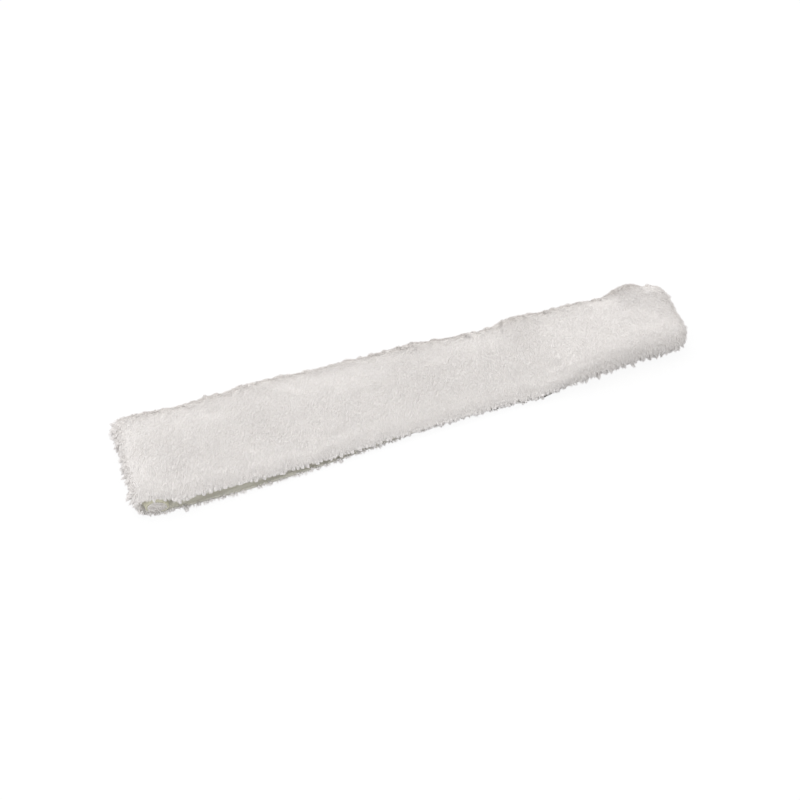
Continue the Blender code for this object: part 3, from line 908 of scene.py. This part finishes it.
def fleece():
    """Geometry nodes that plant locks on a surface and draw them together into clumps."""
    tree, add, given = new_tree("fleece", Spacing="Float", Clumps="Float", Clumping="Float",
                                Rooting="Float", Seed="Int")
    here = add("GeometryNodeInputPosition")
    density, reach, wild, brushed = (
        add("GeometryNodeInputNamedAttribute", {"Name": name}, data_type=kind)
        for name, kind in (("density", "FLOAT"), ("reach", "FLOAT"), ("wild", "FLOAT"),
                           ("brushed", "FLOAT_VECTOR")))
    points, clumps = (
        add("GeometryNodeDistributePointsOnFaces",
            {"Mesh": given["Ground"], "Distance Min": given[spacing], "Density Max": DENSEST,
             "Density Factor": factor, "Seed": given["Seed"]}, distribute_method="POISSON")
        for spacing, factor in (("Spacing", density), ("Clumps", 1.0)))
    spread, longer, twist = (
        add(NUMBER, (wild, factor, least), operation="MULTIPLY_ADD")
        for factor, least in ((0.0030, 0.0004), (0.50, 0.95), (2.5, 0.3)))
    own_length, own_turn, width, random_tone, clump_length = (
        add(RANDOM, {"Min": low, "Max": high, "Seed": seed})
        for low, high, seed in ((0.9, 1.04, 3), (-1, 1, 4), (0.75, 1.2, 5), (0, 0.3, 6),
                                (0.75, 1.3, 7)))
    own_way, clump_way = (add(RANDOM, {**ANY_WAY, "Seed": seed}, data_type="FLOAT_VECTOR")
                          for seed in (1, 2))
    nearest = add("GeometryNodeSampleNearest", {"Geometry": clumps, "Sample Position": here},
                  domain="POINT")
    clump_here, clump_normal, clump_way, clump_length = (
        add("GeometryNodeSampleIndex", {"Geometry": clumps, "Index": nearest, "Value": value},
            data_type="FLOAT_VECTOR", domain="POINT")
        for value in (here, clumps.outputs["Normal"], clump_way, clump_length))
    clump_length = add(NUMBER, (clump_length, longer), operation="MULTIPLY")
    tips = []
    for place, normal, any_way, strayed, length in (
            (here, points.outputs["Normal"], own_way, (0.0002, 0.0002, 0.0002), own_length),
            (clump_here, clump_normal, clump_way, spread, clump_length)):
        way = add(VECTOR, (normal, reach, brushed), operation="MULTIPLY_ADD")
        way = add(VECTOR, (any_way, strayed, way), operation="MULTIPLY_ADD")
        tips.append(add(VECTOR, (way, length, place), operation="MULTIPLY_ADD"))
    together = add("ShaderNodeMapRange", {"Value": wild, "To Min": 0.2})
    drawn_in = add(NUMBER, (together, given["Clumping"]), operation="MULTIPLY")
    tip = add("ShaderNodeMix", {"Factor": drawn_in, "A": tips[0], "B": tips[1]},
              data_type="VECTOR")
    around = add(NUMBER, (twist, own_turn), operation="MULTIPLY")
    placing = reaching(add, here, tip, TIPS_ABOVE, width, around, points.outputs["Normal"])
    rooting = add("ShaderNodeMapRange", {"Value": wild, "From Min": 0.45,
                                         "To Max": given["Rooting"]})
    root = add("ShaderNodeMix", {"Factor": rooting, "A": here, "B": clump_here},
               data_type="VECTOR")
    root = add(VECTOR, (root, (-9, -9, ROOTS_ABOVE)), operation="MAXIMUM")
    gathered = add("GeometryNodeSetPosition", {"Geometry": points, "Position": root})
    # Painted shade: each lock's random tone minus how loose the pile is, which darkens the loose
    # tufts
    tint = add(NUMBER, (random_tone, wild), operation="SUBTRACT")
    toned_and_shaded = add("GeometryNodeStoreNamedAttribute",
                 {"Geometry": gathered, "Name": "tint", "Value": tint}, domain="POINT")
    repeated(add, given, {"Points": toned_and_shaded, **placing})
    return tree


def teeth():
    """Geometry nodes that hang tufts along an edge, unevenly spaced and turned."""
    tree, add, given = new_tree("teeth", Spacing="Float", Share="Float", Length="Float",
                                Unevenness="Float", Way="Vector")
    slide, turn, stretch, width = (
        add(RANDOM, {"Min": low, "Max": high, "Seed": seed})
        for low, high, seed in ((-0.4, 0.4, 1), (0, math.tau, 3), (0.7, 1.25, 4), (0.8, 1.25, 5)))
    slid = add(NUMBER, (slide, given["Spacing"]), operation="MULTIPLY")
    offset = add(VECTOR, (add("GeometryNodeInputTangent"), slid), operation="MULTIPLY")
    moved = add("GeometryNodeSetPosition", {"Geometry": points_along(add, given),
                                            "Offset": offset})
    far = add(NUMBER, (stretch, given["Length"]), operation="MULTIPLY")
    any_way = add(RANDOM, {**ANY_WAY, "Seed": 2}, data_type="FLOAT_VECTOR")
    way = add(VECTOR, (any_way, given["Unevenness"], given["Way"]),
              operation="MULTIPLY_ADD")
    here = add("GeometryNodeInputPosition")
    tip = add(VECTOR, (way, far, here), operation="MULTIPLY_ADD")
    kept = add(RANDOM, {"Probability": given["Share"], "Seed": 6}, data_type="BOOLEAN")
    repeated(add, given, {"Points": moved, "Selection": kept,
                          **reaching(add, here, tip, TUFTS_ABOVE, width, turn)})
    return tree


def stitches():
    """Geometry nodes that set one stitch after another along a line, a little unevenly."""
    tree, add, given = new_tree("stitches", Spacing="Float", Unevenness="Float")
    out = add("GeometryNodeInputNamedAttribute", {"Name": "out"}, data_type="FLOAT_VECTOR")
    along = add(ALIGN, {"Vector": add("GeometryNodeInputTangent")}, axis="X")
    facing = add(ALIGN, {"Rotation": along, "Vector": out}, axis="Y", pivot_axis="X")
    tilt = add(RANDOM, {**ANY_WAY, "Seed": 7}, data_type="FLOAT_VECTOR")
    tilt = add(VECTOR, {0: tilt, "Scale": given["Unevenness"]}, operation="SCALE")
    tilted = add("FunctionNodeEulerToRotation", [tilt])
    turned = add("FunctionNodeRotateRotation", (facing, tilted), rotation_space="LOCAL")
    repeated(add, given, {"Points": points_along(add, given), "Rotation": turned})
    return tree


def nap():
    """Geometry nodes that stand hooks or loops on a tape."""
    tree, add, given = new_tree("nap", Spacing="Float", Turning="Float")
    points = add("GeometryNodeDistributePointsOnFaces",
                 {"Mesh": given["Ground"], "Distance Min": given["Spacing"],
                  "Density Max": DENSEST, "Seed": 3}, distribute_method="POISSON")
    turn = add(RANDOM, {"Min": -1.0, "Max": 1.0, "Seed": 4})
    around = add(NUMBER, (turn, given["Turning"]), operation="MULTIPLY")
    repeated(add, given, {"Points": points,
                          "Rotation": twisted(add, points.outputs["Rotation"], around)})
    return tree


def lit_world(settings):
    """Even light from all round, in front of a pure white backdrop."""
    world = bpy.data.worlds.new("studio")
    world.use_nodes = True
    tree = world.node_tree
    tree.nodes.clear()
    add = partial(add_node, tree)
    rays = add("ShaderNodeLightPath").outputs
    seen = rays["Is Camera Ray"]
    for other in ("Is Glossy Ray", "Is Transmission Ray"):
        seen = add("ShaderNodeMath", (seen, rays[other]), operation="MAXIMUM")
    light, backdrop = (add("ShaderNodeBackground", {"Color": (1, 1, 1, 1), "Strength": strength})
                       for strength in (settings.daylight, 1.0))
    mixed = add("ShaderNodeMixShader", (seen, light, backdrop))
    add("ShaderNodeOutputWorld", {"Surface": mixed})
    return world


# Camera: focal length and sensor width in millimetres, and the shift of the picture
LENS, SENSOR, SHIFT = 50, 36, (-0.0174, -0.0171)

# Lamps: name, size, power, place, and the point that it shines at
LAMPS = (("softbox", 1.6, 9.6, Vector((-0.32, 0.46, 1.20)), Vector((0, 0, 0))),
         ("fill", 0.5, 0.5, Vector((-0.50, -0.50, 0.16)), Vector((-0.12, -0.04, 0))))


class SLEEVE_OT_stage(bpy.types.Operator):
    """Add the table, the light and the camera"""

    bl_idname = "sleeve.stage"
    bl_label = "Table, Light and Camera"

    def execute(self, context):
        scene, settings = context.scene, context.scene.sleeve_stage
        shape = bmesh.new()
        bmesh.ops.create_grid(shape, size=settings.table_width / 2)
        table = new_object("table", mesh_from(shape, "table"), white_paper(settings))
        scene.world = lit_world(settings)
        for name, across, energy, place, aim in LAMPS:
            lamp = new_object(name, bpy.data.lights.new(name, "AREA"))
            lamp.data.size = across
            lamp.data.energy = energy
            lamp.location = place
            lamp.rotation_euler = (aim - place).to_track_quat("-Z", "Y").to_euler()
        camera = scene.camera = new_object("camera", bpy.data.cameras.new("camera"))
        camera.data.lens, camera.data.sensor_width = LENS, SENSOR
        camera.data.shift_x, camera.data.shift_y = SHIFT
        up, around = settings.elevation, settings.heading
        look = Vector((math.sin(around) * math.cos(up), math.cos(around) * math.cos(up),
                       -math.sin(up)))
        camera.location = Vector((0, 0, settings.camera_height)) - look * settings.camera_distance
        camera.rotation_euler = look.to_track_quat("-Z", "Y").to_euler()
        scene.view_settings.view_transform = "Standard"
        return {"FINISHED"}


def fleece_values(pile, seed, closer=1.0):
    """The fleece's inputs: sizes, and how the locks draw together."""
    return {"Spacing": closer * pile.lock_spacing, "Clumps": pile.clump_spacing,
            "Clumping": pile.clumping, "Rooting": pile.rooting, "Seed": seed}


# What hangs over the lips: name, lip (1 is the upper one), way, then spacing, share of places that
# have one, length and unevenness, against the settings' teeth
TUFTS = (("upper_lip_teeth", 1, (-0.2, -0.65, -0.75), 1.05, 1.0, 1.35, 0.12),
         ("lower_lip_fringe", 0, (-0.2, -0.8, -0.3), 0.6, 0.4, 0.35, 0.6),
         ("lower_lip_curls", 0, (-0.1, -0.9, -0.3), 2.6, 0.5, 1.1, 0.7))


class SLEEVE_OT_fleece(bpy.types.Operator):
    """Add the knitted ground cloth and the pile that grows on it"""

    bl_idname = "sleeve.fleece"
    bl_label = "Fleece"

    def execute(self, context):
        settings = context.scene.sleeve_pile
        knit = ground_cloth()
        felt, planting = pile_bodies(settings, knit)
        hung(knit.data)
        finished(knit, "ecru_knit", "ground_cloth")
        finished(new_object("pile_felt", felt, made_of(acrylic_pile_felt)), "white_pile",
                 *PILE_NODES)
        edges = [lip_line(planting, level, LOW.x + clear)
                 for level, clear in enumerate((0, settings.bare_corner))]
        plant_rims(planting, tree_of(knit))
        length, count = HIGH.x - LOW.x, settings.parts
        lock = lock_mesh(settings)
        for number in range(count):
            start = LOW.x + number * (length / count) - (number == 0)
            end = LOW.x + (number + 1) * (length / count) + (number == count - 1)
            grown(f"pile_locks_{number + 1}", part_of(planting, start, end), fleece, lock,
                  acrylic_pile_strands, fleece_values(settings, number), "white_pile")
        tuft = tuft_mesh(6, settings.tooth_width / 2)
        for name, level, way, spacing, share_left, long, uneven in TUFTS:
            grown(name, edges[level].copy(), teeth, tuft, acrylic_pile_strands,
                  {"Spacing": settings.tooth_spacing * spacing, "Share": share_left,
                   "Length": settings.tooth_length * long, "Unevenness": uneven, "Way": way},
                  "white_pile")
        planting.free()
        return {"FINISHED"}


class SLEEVE_OT_allowances(bpy.types.Operator):
    """Add the rolled seam allowances, whose cut ends show the pile inside them"""

    bl_idname = "sleeve.allowances"
    bl_label = "Seam Allowances"

    def execute(self, context):
        pile = context.scene.sleeve_pile
        knit, felt = made_of(ecru_knit_rolled_shade), made_of(acrylic_pile_felt)
        for node, axis, inner_side in (("left_seam_allowance", 1, 1),
                                       ("right_seam_allowance", 1, -1),
                                       ("front_seam_allowance", 0, 1)):
            wrap, core, ends = rolled_cloth(node, axis, inner_side, context.scene.sleeve_cloth)
            finished(new_object(f"{node}_cloth", wrap, knit), "ecru_knit", node)
            finished(new_object(f"{node}_pile", core, felt), "white_pile")
            grown(f"{node}_ends", ends, fleece, lock_mesh(pile), acrylic_pile_strands,
                  fleece_values(pile, 11, closer=0.8), "white_pile")
        return {"FINISHED"}


# Distance between the sections that seams are measured at, and how far the overlock's middle lies
# inside its solid's
SEAM_STEP, OVERLOCK_INSIDE = 0.005, 0.0009

# Overlock seams: node, axis that it runs along, and the way that its edge faces
OVERLOCKS = (
    ("lower_lip_overlock", 0, (0, -1, 0)), ("upper_lip_overlock", 0, (0, -1, 0)),
    ("front_seam_overlock", 0, (0, 1, 0)), ("left_seam_overlock", 1, (1, 0, 0)),
    ("right_seam_overlock", 1, (-1, 0, 0)))


class SLEEVE_OT_overlocks(bpy.types.Operator):
    """Add the overlock stitches over the cut edges of the lips and the allowances"""

    bl_idname = "sleeve.overlocks"
    bl_label = "Overlock Stitches"

    def execute(self, context):
        settings = context.scene.sleeve_cloth
        half = settings.thickness / 2 + 0.0002
        bite, pitch = settings.edge_bite, settings.edge_pitch
        loop = thread_mesh(((-0.5 * pitch, -bite, half), (-0.2 * pitch, -bite / 3, half),
                            (0, 0.0004, half), (0.1 * pitch, 0.0008, 0), (0, 0.0004, -half),
                            (0.3 * pitch, -bite / 2, -half)), settings.edge_thread)
        link = thread_mesh(((-0.55 * pitch, 0.0007, 0.0003), (0, 0.0009, 0.0),
                            (0.55 * pitch, 0.0007, -0.0003)), settings.edge_thread)
        for node, axis, out in OVERLOCKS:
            points = [middle(points) - Vector(out) * OVERLOCK_INSIDE
                      for points in cuts(node, axis, SEAM_STEP)]
            for part, shape, nodes in (("loops", loop, (node,)), ("chain", link, ())):
                grown(f"{node}_{part}", line_mesh(points, out), stitches, shape, polyester_thread,
                      {"Spacing": pitch, "Unevenness": 0.08}, "white_thread", *nodes)
        return {"FINISHED"}


# Paths of a hook and of a loop, in heights of the nap, from their feet in the tape
NAP = {
    "hook_tape": ((0, 0, None), (0, 0, 0.6), (0.2, 0, 0.95), (0.45, 0, 0.85), (0.5, 0, 0.55)),
    "loop_tape": ((-0.3, 0, None), (-0.5, 0.1, 0.5), (0, 0.2, 0.8), (0.5, 0.1, 0.5),
                  (0.3, 0, None)),
}


def tape_meshes(node, up):
    """A tape with its edges rounded, and the face of it that hooks or loops stand on."""
    band = hung(merged(node))
    band.normal_update()
    face_side = band.copy()
    away = [face for face in face_side.faces if face.normal.z * up < 0.7]
    bmesh.ops.delete(face_side, geom=away, context="FACES")
    sharp = [edge for edge in band.edges if edge.calc_face_angle(0) > SHARP]
    bmesh.ops.bevel(band, geom=sharp, offset=0.0002, segments=2, affect="EDGES")
    return mesh_from(band, node), mesh_from(face_side, node)


class SLEEVE_OT_closing(bpy.types.Operator):
    """Add the hook and loop tapes, the stitches round them and the bar tack at the slit's end"""

    bl_idname = "sleeve.closing"
    bl_label = "Closing Tapes and Bar Tack"

    def execute(self, context):
        settings = context.scene.sleeve_cloth
        tall, long, thick = settings.hook_height, settings.stitch_length, settings.stitch_thread
        sunk = -0.0002
        dash = thread_mesh(((-0.46 * long, 0, sunk), (-0.3 * long, 0.00015, 0.0),
                            (0.3 * long, -0.00015, 0.0), (0.46 * long, 0, sunk)), thick, 6)
        for node, up, turning in (("hook_tape", 1, 0.2), ("loop_tape", -1, 3.1)):
            band, face_side = tape_meshes(node, up)
            finished(new_object(f"{node}_band", band, made_of(nylon_tape)), "white_tape", node)
            path = [(x * tall, y * tall, sunk if z is None else z * tall) for x, y, z in NAP[node]]
            grown(f"{node}_nap", face_side, nap, thread_mesh(path, settings.hook_thickness),
                  nylon_tape, {"Spacing": settings.hook_spacing, "Turning": turning},
                  "white_tape")
            sewn = f"{node}_stitching"
            rows = cuts(sewn, 0, SEAM_STEP)[1:-1]
            half_way = middle([point for points in rows for point in points]).y
            near, far = ([middle([point for point in points if (point.y > half_way) == beyond])
                          for points in rows] for beyond in (False, True))
            grown(f"{sewn}_row", line_mesh(near + far[::-1], (0, 0, up), closed=True), stitches,
                  dash, polyester_thread, {"Spacing": long, "Unevenness": 0.03}, "white_thread",
                  sewn)
        low, high = (Vector(corner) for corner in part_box("slit_end_bar_tack"))
        centre, half = (low + high) / 2, (high - low) / 2
        stroke = [(x, y * half.y, z * half.z) for x, y, z in (
            (0, -0.9, -0.8), (0.0002, 1, -0.95), (0.0003, 1, 0.95), (0.0001, -0.9, 0.8),
            (-0.0001, -0.9, -0.7))]
        line = [Vector((x, centre.y, centre.z)) for x in (low.x + 0.0005, high.x - 0.0005)]
        grown("bar_tack_zigzag", line_mesh(line, (0, -1, 0)), stitches,
              thread_mesh(stroke, thick, 6), polyester_thread,
              {"Spacing": settings.tack_pitch, "Unevenness": 0.06}, "white_thread",
              "slit_end_bar_tack")
        return {"FINISHED"}


class SLEEVE_PT_panel(bpy.types.Panel):
    """Buttons for the sleeve's pieces"""

    bl_idname = "SLEEVE_PT_panel"
    bl_label = "Window Washer Sleeve"
    bl_space_type = "VIEW_3D"
    bl_region_type = "UI"
    bl_category = "Sleeve"

    def draw(self, context):
        for settings in SETTINGS:
            box = self.layout.box()
            group = getattr(context.scene, settings)
            for name in group.__annotations__:
                box.prop(group, name)
        for name in STEPS:
            self.layout.operator(f"sleeve.{name}")


STEPS = ("stage", "fleece", "allowances", "overlocks", "closing")
SETTINGS = {"sleeve_pile": PileSettings, "sleeve_cloth": ClothSettings,
            "sleeve_stage": StageSettings}
CLASSES = (*SETTINGS.values(), SLEEVE_OT_stage, SLEEVE_OT_fleece, SLEEVE_OT_allowances,
           SLEEVE_OT_overlocks, SLEEVE_OT_closing, SLEEVE_PT_panel)


def register():
    for kind in CLASSES:
        bpy.utils.register_class(kind)
    for name, kind in SETTINGS.items():
        setattr(bpy.types.Scene, name, PointerProperty(type=kind))


def unregister():
    for name in SETTINGS:
        delattr(bpy.types.Scene, name)
    for kind in reversed(CLASSES):
        bpy.utils.unregister_class(kind)


def main():
    """Make the scene."""
    register()
    for name in STEPS:
        getattr(bpy.ops.sleeve, name)()


if __name__ == "__main__":
    main()
